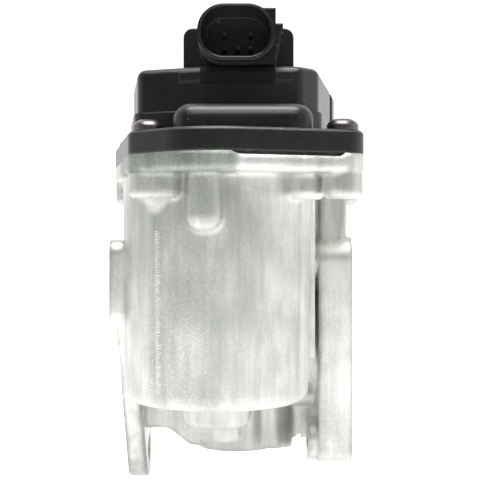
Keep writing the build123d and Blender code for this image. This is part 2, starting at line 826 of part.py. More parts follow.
with BuildPart() as motor_spring:
    with BuildSketch(Plane.XZ.offset(-motor_y)):
        with BuildLine():
            Polyline(
                (motor_x + 8.0, can_bottom_z - 0.6),
                (motor_x + 8.0, can_bottom_z),
                (motor_x + 16.0, pot_floor_z + 0.6),
                (motor_x + 16.0, pot_floor_z),
                close=True,
            )
        make_face()
    revolve(axis=Axis((motor_x, motor_y, 0), (0, 0, 1)))
motor_spring.part.label = "motor_spring"
export_step(motor_spring.part, "parts/motor_spring.step")

with BuildPart() as motor_magnets:
    with BuildSketch(magnet_plane):
        with Locations(motor_at):
            Circle(motor_radius - can_wall - 0.02)
            Circle(magnet_inner, mode=Mode.SUBTRACT)
            Rectangle(2 * motor_radius, 19.0, mode=Mode.SUBTRACT)
    extrude(amount=34.0)
motor_magnets.part.label = "motor_magnets"
export_step(motor_magnets.part, "parts/motor_magnets.step")

with BuildPart() as brush_card:
    with BuildSketch(Plane.XY.offset(card_z)):
        with Locations(motor_at):
            Circle(motor_radius - can_wall - 0.1)
            Circle(commutator_radius + 1.4, mode=Mode.SUBTRACT)
    extrude(amount=2.2)
    with BuildSketch(Plane.XY.offset(brush_z - 1.0)):
        with Locations((motor_x - 10.5, motor_y), (motor_x + 10.5, motor_y)):
            RectangleRounded(9.0, 8.0, 1.0)
    extrude(amount=card_z - brush_z + 1.2)
    with BuildSketch(Plane.XY.offset(brush_z)):
        with Locations((motor_x - 9.5, motor_y), (motor_x + 9.5, motor_y)):
            Rectangle(9.0, 5.0)
    extrude(amount=5.0, mode=Mode.SUBTRACT)
    with BuildSketch(Plane.XY.offset(card_z)):
        with Locations(*blades_at):
            Rectangle(2.0, 0.6)
    extrude(amount=2.2, mode=Mode.SUBTRACT)
brush_card.part.label = "brush_card"
export_step(brush_card.part, "parts/brush_card.step")

with BuildPart() as brushes:
    with BuildSketch(Plane.XY.offset(brush_z + fit)):
        with Locations((motor_x - 8.7, motor_y), (motor_x + 8.7, motor_y)):
            Rectangle(8.6, 4.9)
        with Locations(motor_at):
            Circle(commutator_radius + 0.04, mode=Mode.SUBTRACT)
    extrude(amount=4.9)
brushes.part.label = "brushes"
export_step(brushes.part, "parts/brushes.step")

with BuildPart() as motor_blades:
    with BuildSketch(Plane.XY.offset(card_z)):
        with Locations(*blades_at):
            Rectangle(1.98, 0.58)
    extrude(amount=ceiling_z - 0.3 - card_z)
motor_blades.part.label = "motor_blades"
export_step(motor_blades.part, "parts/motor_blades.step")

with BuildPart() as motor_bearings:
    with BuildSketch(Plane.XY.offset(plate_bottom)):
        with Locations(motor_at):
            Circle(motor_seat_radius - 0.01)
            Circle(motor_shaft_radius + 0.02, mode=Mode.SUBTRACT)
    extrude(amount=4.0)
    with BuildSketch(Plane.XY.offset(nose_bottom_z + can_wall)):
        with Locations(motor_at):
            Circle(bearing_seat - 0.01)
            Circle(motor_shaft_radius + 0.02, mode=Mode.SUBTRACT)
    extrude(amount=5.0)
motor_bearings.part.label = "motor_bearings"
export_step(motor_bearings.part, "parts/motor_bearings.step")

with BuildPart() as motor_shaft:
    with BuildSketch(Plane.XY.offset(nose_bottom_z + 0.6)):
        with Locations(motor_at):
            Circle(motor_shaft_radius)
    extrude(amount=shaft_top_z - nose_bottom_z - 0.6)
    chamfer(motor_shaft.faces().sort_by(Axis.Z)[-1].edges(), 0.4)
motor_shaft.part.label = "motor_shaft"
export_step(motor_shaft.part, "parts/motor_shaft.step")

with BuildPart() as rotor_core:
    with BuildSketch(Plane.XY.offset(rotor_bottom_z)):
        with Locations(motor_at):
            Circle(rotor_radius)
            Circle(motor_shaft_radius, mode=Mode.SUBTRACT)
            with PolarLocations(slot_middle, slot_count):
                Rectangle(slot_outer - slot_inner, slot_width, mode=Mode.SUBTRACT)
            with PolarLocations(rotor_radius, slot_count):
                Rectangle(5.0, 1.2, mode=Mode.SUBTRACT)
    extrude(amount=rotor_length)
rotor_core.part.label = "rotor_core"
export_step(rotor_core.part, "parts/rotor_core.step")

with BuildPart() as rotor_windings:
    with BuildSketch(Plane.XY.offset(rotor_bottom_z - 1.0)):
        with Locations(motor_at):
            with PolarLocations(slot_middle, slot_count):
                Rectangle(slot_outer - slot_inner - 0.2, slot_width - 0.2)
    extrude(amount=rotor_length + 2.0)
    for level, out in ((rotor_bottom_z, -1), (rotor_bottom_z + rotor_length, 1)):
        with BuildSketch(Plane.XZ.offset(-motor_y)):
            with BuildLine():
                Polyline(
                    (motor_x + commutator_radius + 0.8, level + out * 0.2),
                    (motor_x + slot_outer + 0.9, level + out * 0.2),
                    (motor_x + slot_outer + 0.9, level + out * 4.2),
                    (motor_x + slot_outer - 1.3, level + out * 6.4),
                    (motor_x + commutator_radius + 0.8, level + out * 6.4),
                    close=True,
                )
            make_face()
        revolve(axis=Axis((motor_x, motor_y, 0), (0, 0, 1)))
rotor_windings.part.label = "rotor_windings"
export_step(rotor_windings.part, "parts/rotor_windings.step")

with BuildPart() as commutator:
    with BuildSketch(Plane.XY.offset(commutator_bottom_z)):
        with Locations(motor_at):
            Circle(commutator_radius)
            Circle(motor_shaft_radius, mode=Mode.SUBTRACT)
            with PolarLocations(commutator_radius, slot_count):
                Rectangle(1.4, 0.3, mode=Mode.SUBTRACT)
    extrude(amount=10.0)
commutator.part.label = "commutator"
export_step(commutator.part, "parts/commutator.step")


# The gear train: pinion, idler on its pin, and the sector on the flap shaft
idler_bottom_z = gear_level_fast - 1.0
idler_top_z = gear_level_slow - 0.9 + idler_small_width - 0.5
pinion_to_idler = direction(motor_at, idler_at)
idler_to_shaft = direction(idler_at, shaft_at)
mould_radius = module_slow * (idler_small_teeth / 2 - 1.4)

with BuildPart() as pinion:
    teeth_sketch, root = gear_sketch(pinion_teeth, module_fast, pinion_to_idler)
    with BuildSketch(Plane.XY.offset(gear_level_fast - 1.5)):
        with Locations(motor_at):
            Circle(root)
            add(teeth_sketch)
            Circle(motor_shaft_radius, mode=Mode.SUBTRACT)
    extrude(amount=pinion_width)
pinion.part.label = "pinion"
export_step(pinion.part, "parts/pinion.step")

with BuildPart() as idler_gear:
    large_tooth = pinion_to_idler + 180.0 - 180.0 / idler_large_teeth
    teeth_sketch, root = gear_sketch(idler_large_teeth, module_fast, large_tooth)
    with BuildSketch(Plane.XY.offset(gear_level_fast)):
        with Locations(idler_at):
            Circle(root)
            add(teeth_sketch)
            Circle(mould_radius, mode=Mode.SUBTRACT)
    extrude(amount=idler_large_width)
    with BuildSketch(Plane.XY.offset(gear_level_fast + idler_large_width)):
        with Locations(idler_at):
            Circle(root - 1.6)
            Circle(mould_radius + 1.8, mode=Mode.SUBTRACT)
    extrude(amount=-1.3, mode=Mode.SUBTRACT)
    with BuildSketch(Plane.XY.offset(gear_level_fast)):
        with Locations(idler_at):
            Circle(root - 1.6)
            Circle(mould_radius + 1.8, mode=Mode.SUBTRACT)
    extrude(amount=1.3, mode=Mode.SUBTRACT)
idler_gear.part.label = "idler_gear"
export_step(idler_gear.part, "parts/idler_gear.step")

with BuildPart() as idler_pinion:
    teeth_sketch, root = gear_sketch(idler_small_teeth, module_slow, idler_to_shaft)
    with BuildSketch(Plane.XY.offset(gear_level_slow - 0.9)):
        with Locations(idler_at):
            Circle(root)
            add(teeth_sketch)
    extrude(amount=idler_top_z - gear_level_slow + 0.9)
    with BuildSketch(Plane.XY.offset(idler_bottom_z)):
        with Locations(idler_at):
            Circle(mould_radius)
    extrude(amount=gear_level_slow - 0.9 - idler_bottom_z)
    with BuildSketch(Plane.XY.offset(idler_bottom_z)):
        with Locations(idler_at):
            Circle(idler_pin_radius + running_gap)
    extrude(amount=idler_top_z - idler_bottom_z, mode=Mode.SUBTRACT)
idler_pinion.part.label = "idler_pinion"
export_step(idler_pinion.part, "parts/idler_pinion.step")

with BuildPart() as idler_pin:
    with BuildSketch(Plane.XY.offset(plate_bottom)):
        with Locations(idler_at):
            Circle(idler_pin_radius)
    extrude(amount=ceiling_z - 0.4 - plate_bottom)
    chamfer(idler_pin.faces().sort_by(Axis.Z)[-1].edges(), 0.3)
idler_pin.part.label = "idler_pin"
export_step(idler_pin.part, "parts/idler_pin.step")

with BuildPart() as idler_spacer:
    with BuildSketch(Plane.XY.offset(plate_top)):
        with Locations(idler_at):
            Circle(idler_pin_radius + 1.4)
            Circle(idler_pin_radius, mode=Mode.SUBTRACT)
    extrude(amount=idler_bottom_z - 0.1 - plate_top)
idler_spacer.part.label = "idler_spacer"
export_step(idler_spacer.part, "parts/idler_spacer.step")

sector_root = module_slow * (sector_teeth / 2 - 1.2)
hub_radius = 7.6
hub_bottom_z = deck_z + collar_height + 1.0
sector_top_z = gear_level_slow + sector_width
first_angle = direction(shaft_at, idler_at) + sector_margin
toothed_angle = flap_travel + 2 * sector_margin
tooth_step = 360.0 / sector_teeth
tooth_count = ceil(toothed_angle / tooth_step)
gap_at = direction(shaft_at, idler_at) - tooth_step / 2

last_tooth = round((first_angle - gap_at) / tooth_step)
start_angle = gap_at + (last_tooth - tooth_count + 0.5) * tooth_step

with BuildPart() as sector_gear:
    teeth_sketch, root = gear_sketch(
        sector_teeth, module_slow, gap_at, last_tooth - tooth_count + 1, tooth_count
    )
    with BuildSketch(Plane.XY.offset(gear_level_slow)):
        with Locations(shaft_at):
            add(teeth_sketch)
        with BuildLine():
            rim = CenterArc(shaft_at, sector_root, start_angle, tooth_count * tooth_step)
            Line(shaft_at, rim @ 0)
            Line(shaft_at, rim @ 1)
        make_face()
    extrude(amount=sector_width)
    with BuildSketch(Plane.XY.offset(sector_top_z)):
        with BuildLine():
            middle_angle = start_angle + tooth_count * tooth_step / 2
            outer = CenterArc(shaft_at, sector_root - 3.0, middle_angle - 38.0, 76.0)
            inner = CenterArc(shaft_at, hub_radius + 2.4, middle_angle - 32.0, 64.0)
            Line(outer @ 0, inner @ 0)
            Line(outer @ 1, inner @ 1)
        make_face()
    extrude(amount=-1.6, mode=Mode.SUBTRACT)
    with BuildSketch(Plane.XY.offset(hub_bottom_z)):
        with Locations(shaft_at):
            Circle(hub_radius)
    extrude(amount=sector_top_z - hub_bottom_z)
    with BuildSketch(Plane.XY.offset(hub_bottom_z)):
        with Locations(shaft_at):
            Circle(flap_shaft_radius)
            with Locations((0.0, flap_shaft_radius)):
                Rectangle(2 * flap_shaft_radius, 1.4, mode=Mode.SUBTRACT)
    extrude(amount=sector_top_z - 1.5 - hub_bottom_z, mode=Mode.SUBTRACT)
sector_gear.part.label = "sector_gear"
export_step(sector_gear.part, "parts/sector_gear.step")

with BuildPart() as sensor_magnet:
    with BuildSketch(Plane.XY.offset(sector_top_z)):
        with Locations(shaft_at):
            Circle(4.0)
    extrude(amount=magnet_height)
    chamfer(sensor_magnet.faces().sort_by(Axis.Z)[-1].edges(), 0.3)
sensor_magnet.part.label = "sensor_magnet"
export_step(sensor_magnet.part, "parts/sensor_magnet.step")


# The flap, its shaft, the bearings, the seal and the plug
shaft_bottom_z = lower_boss_bottom_z + plug_height + 0.8
lower_bearing_z = lower_boss_bottom_z + plug_height + 0.4
upper_bearing_z = deck_z + collar_height - bearing_length - 0.5
flap_radius = bore_radius - flap_clearance

with BuildPart() as flap_shaft:
    with BuildSketch(Plane.XY.offset(shaft_bottom_z)):
        with Locations(shaft_at):
            Circle(flap_shaft_radius)
    extrude(amount=sector_top_z - 1.6 - shaft_bottom_z)
    with BuildSketch(Plane.XY.offset(hub_bottom_z)):
        with Locations((shaft_x, flap_shaft_radius)):
            Rectangle(2 * flap_shaft_radius, 1.4)
    extrude(amount=sector_top_z - hub_bottom_z, mode=Mode.SUBTRACT)
    with BuildSketch(Plane.XY.offset(-flap_radius)):
        with Locations(shaft_at):
            Rectangle(flap_thickness, 3 * flap_shaft_radius)
    extrude(amount=2 * flap_radius, mode=Mode.SUBTRACT)
    with BuildSketch(Plane.YZ.offset(shaft_x - 5.0)):
        with Locations((0.0, 7.5), (0.0, -7.5)):
            Circle(1.5)
    extrude(amount=10.0, mode=Mode.SUBTRACT)
flap_shaft.part.label = "flap_shaft"
export_step(flap_shaft.part, "parts/flap_shaft.step")

with BuildPart() as flap:
    with BuildSketch(Plane.YZ.offset(shaft_x - flap_thickness / 2 + 0.01)):
        Circle(flap_radius - 0.02)
        with Locations((0.0, 7.5), (0.0, -7.5)):
            Circle(1.5, mode=Mode.SUBTRACT)
    extrude(amount=flap_thickness - 0.02)
flap.part.label = "flap"
export_step(flap.part, "parts/flap.step")

with BuildPart() as flap_screws:
    with BuildSketch(Plane.YZ.offset(shaft_x - flap_shaft_radius)):
        with Locations((0.0, 7.5), (0.0, -7.5)):
            Circle(1.49)
    extrude(amount=2 * flap_shaft_radius)
    with BuildSketch(Plane.YZ.offset(shaft_x + flap_shaft_radius)):
        with Locations((0.0, 7.5), (0.0, -7.5)):
            Circle(2.6)
            RegularPolygon(1.2, 6, mode=Mode.SUBTRACT)
    extrude(amount=1.8)
flap_screws.part.label = "flap_screws"
export_step(flap_screws.part, "parts/flap_screws.step")

with BuildPart() as shaft_bearings:
    with BuildSketch(Plane.XY.offset(lower_bearing_z)):
        with Locations(shaft_at):
            Circle(bearing_radius - 0.01)
            Circle(flap_shaft_radius + running_gap, mode=Mode.SUBTRACT)
    extrude(amount=bearing_length)
    with BuildSketch(Plane.XY.offset(upper_bearing_z)):
        with Locations(shaft_at):
            Circle(bearing_radius - 0.01)
            Circle(flap_shaft_radius + running_gap, mode=Mode.SUBTRACT)
    extrude(amount=bearing_length)
shaft_bearings.part.label = "shaft_bearings"
export_step(shaft_bearings.part, "parts/shaft_bearings.step")

with BuildPart() as shaft_seal:
    with BuildSketch(Plane.XY.offset(seal_z)):
        with Locations(shaft_at):
            Circle(bearing_radius - 0.01)
            Circle(flap_shaft_radius + running_gap, mode=Mode.SUBTRACT)
    extrude(amount=seal_height)
    with BuildSketch(Plane.XY.offset(seal_z + seal_height)):
        with Locations(shaft_at):
            Circle(bearing_radius - 1.2)
            Circle(flap_shaft_radius + 1.0, mode=Mode.SUBTRACT)
    extrude(amount=-3.4, mode=Mode.SUBTRACT)
shaft_seal.part.label = "shaft_seal"
export_step(shaft_seal.part, "parts/shaft_seal.step")

with BuildPart() as lower_plug:
    with BuildSketch(Plane.XY.offset(lower_boss_bottom_z + 0.2)):
        with Locations(shaft_at):
            Circle(bearing_radius - 0.01)
    extrude(amount=plug_height - 0.2)
    with BuildSketch(Plane.XY.offset(lower_boss_bottom_z + 0.2)):
        with Locations(shaft_at):
            Circle(bearing_radius - 1.6)
    extrude(amount=1.2, mode=Mode.SUBTRACT)
lower_plug.part.label = "lower_plug"
export_step(lower_plug.part, "parts/lower_plug.step")

# Flat return spring: a band wound outwards in half circles, from a tab at the sector's hub to
# the post on the deck
spring_start_x = shaft_x + spring_radius - spring_pitch / 4

with BuildPart() as return_spring:
    with BuildSketch(Plane.XY.offset(spring_bottom_z)):
        with BuildLine():
            for half in range(spring_half_turns):
                lower = half % 2
                centre = (shaft_x + (2 * lower - 1) * spring_pitch / 4, 0.0)
                radius = spring_radius + half * spring_pitch / 2
                CenterArc(centre, radius, 180 * lower, 180)
                CenterArc(centre, radius + spring_band, 180 * lower, 180)
            Line((spring_start_x, 0.0), (spring_start_x + spring_band, 0.0))
            Line((spring_end_x, 0.0), (spring_end_x + spring_band, 0.0))
        make_face()
    extrude(amount=spring_top_z - spring_bottom_z)
    with BuildSketch(Plane.XY.offset(spring_top_z)):
        with Locations((shaft_x + hub_radius + 0.3, 0.0)):
            Rectangle(
                spring_start_x + spring_band - shaft_x - hub_radius - 0.3, spring_band,
                align=(Align.MIN, Align.MIN),
            )
    extrude(amount=-(spring_top_z - hub_bottom_z - 0.2))
return_spring.part.label = "return_spring"
export_step(return_spring.part, "parts/return_spring.step")

stop_lean = -180.0 - start_angle
stop_tip_y = (shaft_x - post_x + 1.5) * tan(radians(stop_lean)) + 0.1

with BuildPart() as stop_screw:
    with BuildSketch(Plane.XZ.offset(-14.0)):
        with Locations((post_x, stop_screw_z)):
            Circle(1.49)
            RegularPolygon(0.8, 6, mode=Mode.SUBTRACT)
    extrude(amount=2.0)
    with BuildSketch(Plane.XZ.offset(-12.0)):
        with Locations((post_x, stop_screw_z)):
            Circle(1.49)
    extrude(amount=12.0 - stop_tip_y)
stop_screw.part.label = "stop_screw"
export_step(stop_screw.part, "parts/stop_screw.step")


# The circuit board under the cover's ceiling, and its sensor chip
with BuildPart() as circuit_board:
    with BuildSketch(Plane.XY.offset(board_bottom_z)):
        add(tier_outline(cover_wall + 1.0))
        with Locations((shaft_x - 2.0, motor_y / 2)):
            Rectangle(36.0, 24.0 - motor_y, mode=Mode.INTERSECT)
        with Locations(idler_at):
            Circle(board_hole_radius, mode=Mode.SUBTRACT)
        with Locations(*blades_at):
            Rectangle(2.4, 1.0, mode=Mode.SUBTRACT)
        with Locations(*[(x, y) for x, z, y in pins_at]):
            Circle(0.6, mode=Mode.SUBTRACT)
    extrude(amount=board_thickness)
circuit_board.part.label = "circuit_board"
export_step(circuit_board.part, "parts/circuit_board.step")

with BuildPart() as sensor_chip:
    with BuildSketch(Plane.XY.offset(board_bottom_z)):
        with Locations(shaft_at):
            Rectangle(5.0, 4.0)
    extrude(amount=-0.8)
sensor_chip.part.label = "sensor_chip"
export_step(sensor_chip.part, "parts/sensor_chip.step")
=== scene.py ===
"""Exhaust gas recirculation valve, dressed over its CAD frame: cast body, plastic cover, inner works."""

import bpy
import bmesh
import json
import random
from math import cos, radians, sin
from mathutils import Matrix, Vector
from mathutils.bvhtree import BVHTree


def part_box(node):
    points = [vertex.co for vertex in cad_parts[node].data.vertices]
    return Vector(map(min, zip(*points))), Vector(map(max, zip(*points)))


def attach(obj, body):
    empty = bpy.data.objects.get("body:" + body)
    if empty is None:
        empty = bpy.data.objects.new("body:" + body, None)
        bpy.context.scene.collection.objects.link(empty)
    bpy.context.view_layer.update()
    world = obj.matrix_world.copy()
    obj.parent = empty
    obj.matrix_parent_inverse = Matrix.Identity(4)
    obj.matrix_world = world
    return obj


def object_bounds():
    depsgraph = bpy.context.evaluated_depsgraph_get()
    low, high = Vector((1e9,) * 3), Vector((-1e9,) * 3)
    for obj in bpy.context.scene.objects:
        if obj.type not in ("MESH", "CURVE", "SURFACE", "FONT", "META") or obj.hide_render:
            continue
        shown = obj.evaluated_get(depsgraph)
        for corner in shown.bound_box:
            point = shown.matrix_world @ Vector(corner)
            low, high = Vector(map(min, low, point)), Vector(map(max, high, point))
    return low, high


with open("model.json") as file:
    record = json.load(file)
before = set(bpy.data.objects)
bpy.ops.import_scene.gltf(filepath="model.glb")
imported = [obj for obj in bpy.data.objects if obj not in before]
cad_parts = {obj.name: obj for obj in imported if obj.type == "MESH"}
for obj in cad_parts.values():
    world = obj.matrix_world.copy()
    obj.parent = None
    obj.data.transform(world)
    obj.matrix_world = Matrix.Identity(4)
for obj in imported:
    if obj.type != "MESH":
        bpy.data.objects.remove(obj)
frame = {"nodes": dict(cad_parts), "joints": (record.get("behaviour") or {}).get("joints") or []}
cad_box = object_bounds()
scene = bpy.context.scene

# The camera stands level in front of the motor pot, as the photograph has it.
# Its lens of 81 mm on a 36 mm sensor is the photograph's, worked out from the round pot and the flanges.
camera_data = bpy.data.cameras.new("camera")
camera_data.lens = 81.0
camera_data.sensor_width = 36.0
camera_data.clip_start = 0.01
camera = bpy.data.objects.new("camera", camera_data)
camera.location = (0.0356, -0.346, 0.033)
camera.rotation_euler = (radians(90.0), 0.0, 0.0)
scene.collection.objects.link(camera)
scene.camera = camera
scene.view_settings.view_transform = "Standard"


# Photo table: one sheet of pale paper, flat under the valve's lowest ear and curved up behind it.
# It looks white to the camera and in reflections, and still takes the valve's shadow.
class Field:
    """A shader socket that works in expressions, or a bare node tree when it has no socket."""

    def __init__(self, tree, socket=None):
        self.tree = tree
        self.socket = socket

    def node(self, kind, settings=None, inputs=None, out=0):
        """Adds a node, sets it up, then sets or links its sockets, and gives one of its outputs."""
        made = self.tree.nodes.new("ShaderNode" + kind)
        for name, value in (settings or {}).items():
            if name == "stops":
                ramp = made.color_ramp
                ramp.elements[0].position, ramp.elements[0].color = value[0]
                ramp.elements[1].position, ramp.elements[1].color = value[-1]
                for place, colour in value[1:-1]:
                    ramp.elements.new(place).color = colour
            else:
                setattr(made, name, value)
        for name, value in (inputs or {}).items():
            if isinstance(value, Field):
                self.tree.links.new(value.socket, made.inputs[name])
            else:
                made.inputs[name].default_value = value
        return Field(self.tree, made.outputs[out])

    def to_surface(self):
        """Makes this shader the surface of its material."""
        output = self.tree.nodes.new("ShaderNodeOutputMaterial")
        self.tree.links.new(self.socket, output.inputs["Surface"])

    def maths(self, operation, *others):
        return self.node("Math", {"operation": operation}, dict(enumerate((self, *others))))

    def __add__(self, other):
        return self.maths("ADD", other)

    def __sub__(self, other):
        return self.maths("SUBTRACT", other)

    def __rsub__(self, other):
        return self.node("Math", {"operation": "SUBTRACT"}, {0: other, 1: self})

    def __mul__(self, other):
        return self.maths("MULTIPLY", other)

    def __pow__(self, other):
        return self.maths("POWER", other)

    def __abs__(self):
        return self.maths("ABSOLUTE")

    def __lt__(self, other):
        return self.maths("LESS_THAN", other)

    def __gt__(self, other):
        return self.maths("GREATER_THAN", other)

    __radd__ = __add__
    __rmul__ = __mul__

    def axes(self):
        """The X, Y and Z of a vector."""
        split = self.node("SeparateXYZ", None, {0: self}).socket.node
        return [Field(self.tree, split.outputs[axis]) for axis in "XYZ"]

    def step(self, low, high):
        """0 below low, 1 above high, and a smooth rise between them."""
        sockets = {"Value": self, "From Min": low, "From Max": high}
        return self.node("MapRange", {"interpolation_type": "SMOOTHSTEP"}, sockets)

    def mix(self, low, high):
        """A colour between two colours, with this field as the factor."""
        return self.node("Mix", {"data_type": "RGBA"}, {0: self, 6: low, 7: high}, out=2)


def rgb(red, green, blue):
    return (red, green, blue, 1.0)


def new_material(name):
    """An empty node material, and its node tree as a bare field."""
    material = bpy.data.materials.new(name)
    material.use_nodes = True
    material.node_tree.nodes.clear()
    return material, Field(material.node_tree)


gap_under_valve = 0.0006
front_edge, bend_start, top_edge, half_width = -0.9, 0.55, 1.6, 1.6
bend_radius, bend_steps = 0.35, 16
floor_z = cad_box[0][2] - gap_under_valve
profile = [(front_edge, floor_z), (bend_start, floor_z)]
for number in range(1, bend_steps + 1):
    turn = radians(90.0) * number / bend_steps
    profile.append((bend_start + bend_radius * sin(turn), floor_z + bend_radius * (1.0 - cos(turn))))
profile.append((bend_start + bend_radius, top_edge))
vertices = [(x, y, z) for y, z in profile for x in (-half_width, half_width)]
faces = [(i, i + 1, i + 3, i + 2) for i in range(0, len(vertices) - 2, 2)]
backdrop_mesh = bpy.data.meshes.new("backdrop")
backdrop_mesh.from_pydata(vertices, [], faces)
backdrop_mesh.shade_smooth()
backdrop = bpy.data.objects.new("backdrop", backdrop_mesh)
scene.collection.objects.link(backdrop)

backdrop_paper, tree = new_material("backdrop_paper")
rays = tree.node("LightPath").socket.node.outputs
camera_ray, glossy_ray, transmission_ray = (
    Field(tree.tree, rays[name]) for name in ("Is Camera Ray", "Is Glossy Ray", "Is Transmission Ray")
)
seen = camera_ray.maths("MAXIMUM", glossy_ray).maths("MAXIMUM", transmission_ray)
paper = tree.node("BsdfDiffuse", None, {"Color": rgb(0.86, 0.86, 0.86)})
white = tree.node("Emission", None, {"Color": rgb(1.0, 1.0, 1.0), "Strength": 0.80})
lit_paper = tree.node("AddShader", None, {0: paper, 1: white})
tree.node("MixShader", None, {0: seen, 1: paper, 2: lit_paper}).to_surface()
backdrop_mesh.materials.append(backdrop_paper)

# Studio light: a room that is dim in front and on the left, where the camera stands, and pale elsewhere.
# Lamps high in front, overhead and at each side draw the pale edges on the black cover.
# A weak one low in front lifts what faces down.
world = bpy.data.worlds.new("studio")
world.use_nodes = True
scene.world = world
world_tree = Field(world.node_tree)
towards_right, towards_back = world_tree.node("TexCoord", out="Generated").axes()[:2]
dim_side = (-0.42 * towards_right - 0.90 * towards_back).step(0.10, 0.80)
wall_light = 0.52 - 0.38 * dim_side
for_camera = world_tree.node("LightPath", out="Is Camera Ray")
background = world.node_tree.nodes["Background"].inputs
background["Color"].default_value = rgb(1.0, 1.0, 1.0)
world.node_tree.links.new(wall_light.maths("MAXIMUM", for_camera).socket, background["Strength"])

middle = Vector((0.034, -0.03, 0.03))
softboxes = (
    ("softbox_key", (0.04, -0.46, 0.56), (0.45, 0.16), 1.12),
    ("softbox_left", (-0.66, -0.06, 0.14), (0.30, 0.50), 0.24),
    ("softbox_right", (0.62, 0.02, 0.16), (0.40, 0.50), 0.40),
    ("softbox_strip", (0.03, -0.12, 0.62), (0.50, 0.26), 3.80),
    ("softbox_low", (0.02, -0.27, -0.055), (0.40, 0.05), 0.11),
)
for name, place, size, watts in softboxes:
    lamp = bpy.data.lights.new(name, "AREA")
    lamp.shape = "RECTANGLE"
    lamp.size, lamp.size_y = size
    lamp.energy = watts
    softbox = bpy.data.objects.new(name, lamp)
    softbox.location = place
    softbox.rotation_euler = (middle - Vector(place)).to_track_quat("-Z", "Y").to_euler()
    scene.collection.objects.link(softbox)

# Housing: one aluminium die casting with the motor pot, gas duct, flanges, shaft tower and deck.
# The mould leaves streaks and two fine parting lines on it, and shot blasting leaves it grainy in places.
# Its flange faces, the pad beside the pot and the bore of the duct are then turned bright.
MM = 0.001
motor_x, motor_y = frame["joints"][0]["pos_m"][:2]
parting_angles = (-128.0, -31.0)
inlet_face, outlet_face = 0.15 * MM, 68.85 * MM
faces_top = 46.0 * MM
bore_radius = 17.6 * MM
waves_per_metre = 4200.0


def dress(material, *nodes):
    """Puts a material on every slot of some CAD nodes."""
    for node in nodes:
        thing = frame["nodes"][node]
        if not thing.material_slots:
            thing.data.materials.append(material)
        for slot in thing.material_slots:
            slot.material = material


def noise(place, scale, detail=2.0, roughness=0.5):
    """Noise over a place, with its grains about 1 / scale metres across."""
    sockets = {"Vector": place, "Scale": scale, "Detail": detail, "Roughness": roughness}
    return place.node("TexNoise", None, sockets, out="Fac")


def soft_edges(tree, radius):
    """A normal that rounds sharp corners off, as a mould or a tumbler does."""
    return tree.node("Bevel", {"samples": 6}, {"Radius": radius})


def rough_skin(tree, height, edges, depth, strength):
    """A normal with a fine height on it, over softened edges."""
    sockets = {"Strength": strength, "Distance": depth, "Height": height, "Normal": edges}
    return tree.node("Bump", None, sockets)


def shade(tree, **sockets):
    """The principled shader as the surface, from socket names with _ for a blank."""
    sockets = {name.replace("_", " "): value for name, value in sockets.items()}
    tree.node("BsdfPrincipled", None, sockets).to_surface()


cast_aluminium, tree = new_material("cast_aluminium")
place = tree.node("TexCoord", out="Object")
x, y, z = place.axes()

# What the mould leaves: grain at two scales, cloudy patches, upright streaks and the parting lines.
fine = noise(place, 5200.0)
grain = noise(place, 2300.0, 2.0, 0.6)
patches = noise(place, 62.0, 3.0)
streaks = noise(place.node("Mapping", None, {"Vector": place, "Scale": (1.0, 1.0, 0.12)}), 380.0, 3.0, 0.55)
across, along = x - motor_x, y - motor_y
from_motor = (across ** 2.0 + along ** 2.0) ** 0.5
pot_wall = from_motor.step(23.0 * MM, 24.5 * MM) * (1.0 - from_motor.step(26.8 * MM, 27.6 * MM))
wavy_angle = along.maths("ARCTAN2", across) + (noise(place, 1500.0) - 0.5) * 0.020
parting = 0.0
for parting_angle in parting_angles:
    parting = parting + (1.0 - abs(wavy_angle - radians(parting_angle)).step(0.003, 0.016))
parting = parting * pot_wall

# Where the photograph has it grainy, as if blasted: the left half of the deck's edge, a band down the pot's
# front and loose patches.
# The left half of the deck's edge is also darkened in colour as painted shade, and its right half made
# paler as a painted highlight.
front_side = 1.0 - y.step(-46.0 * MM, -28.0 * MM)
deck_height = z.step(49.5 * MM, 50.5 * MM)
right_half = x.step(33.5 * MM, 36.0 * MM)
blasted_shaded_deck_left = deck_height * (1.0 - right_half) * front_side
deck_right_highlight = deck_height * right_half * front_side
wander = x + (noise(place, 130.0, 3.0, 0.6) - 0.5) * 0.009
pot_band = wander.step(10.0 * MM, 14.0 * MM) * (1.0 - wander.step(27.0 * MM, 32.0 * MM)) * front_side
loose = noise(place, 42.0).step(0.48, 0.66) * 0.4
blasted = blasted_shaded_deck_left.maths("MAXIMUM", loose).maths("MAXIMUM", pot_band * 0.75)
sparkle = noise(place, 2900.0, 1.0).step(0.60, 0.72)
pits = 1.0 - noise(place, 2500.0, 1.0).step(0.30, 0.44)

# Where the photograph has it paler, the colour stands in for light: a painted reflection on what faces
# down, and painted highlights on the outlet flange's rim, the right half of the deck's edge and a spot low
# on the pot. None of it is the metal's own tone.
rounded = soft_edges(tree, 2.2 * MM)
underside_reflection = (0.0 - rounded.axes()[2]).step(0.25, 0.80)
outlet_height = z.step(-34.0 * MM, 6.0 * MM) * (1.0 - z.step(28.0 * MM, 34.0 * MM))
outlet_rim_highlight = x.step(59.0 * MM, 62.0 * MM) * outlet_height
from_painted_glint = ((x - 22.0 * MM) ** 2.0 + ((z - 5.0 * MM) * 0.6) ** 2.0) ** 0.5
painted_glint = (1.0 - from_painted_glint.step(1.0 * MM, 8.0 * MM)) * front_side

# Where it is turned: rings round the duct's bore.
from_bore = (y ** 2.0 + z ** 2.0) ** 0.5
flange_faces = ((x < inlet_face) + (x > outlet_face)) * (z < faces_top)
duct_bore = (from_bore < bore_radius) * (x > -1.0 * MM)
machined = (flange_faces + duct_bore).maths("MINIMUM", 1.0)
rings = (from_bore * waves_per_metre).maths("SINE") * 0.5 + 0.5
